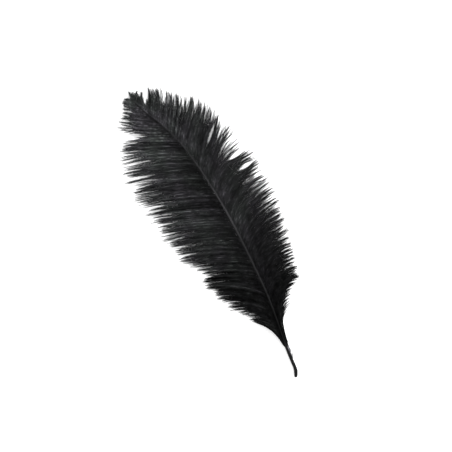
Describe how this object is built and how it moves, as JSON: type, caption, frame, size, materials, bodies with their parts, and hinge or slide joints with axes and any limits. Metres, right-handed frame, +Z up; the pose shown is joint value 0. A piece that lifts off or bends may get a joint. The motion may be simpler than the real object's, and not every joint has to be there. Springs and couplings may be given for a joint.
{
  "type": "ostrich feather",
  "caption": "Black ostrich plume lying front side up: a bare tapering quill and bowed shaft, with a wide soft vane of barbs on each side, parted into ragged locks.",
  "frame": {"origin": "centre of the bounding box in plan, at the surface that the feather lies on", "axes": "+Y from the quill's cut end to the feather's tip, +Z up out of the feather's front side, +X towards the right vane"},
  "size_m": [0.1143, 0.2978, 0.0128],
  "materials": {
    "shaft": "satin, dyed black keratin",
    "barbs": "soft matt fibres with a faint sheen, dyed black"
  },
  "bodies": {
    "root": {"shaft": "shaft", "left_vane": "barbs", "right_vane": "barbs"}
  },
  "joints": []
}
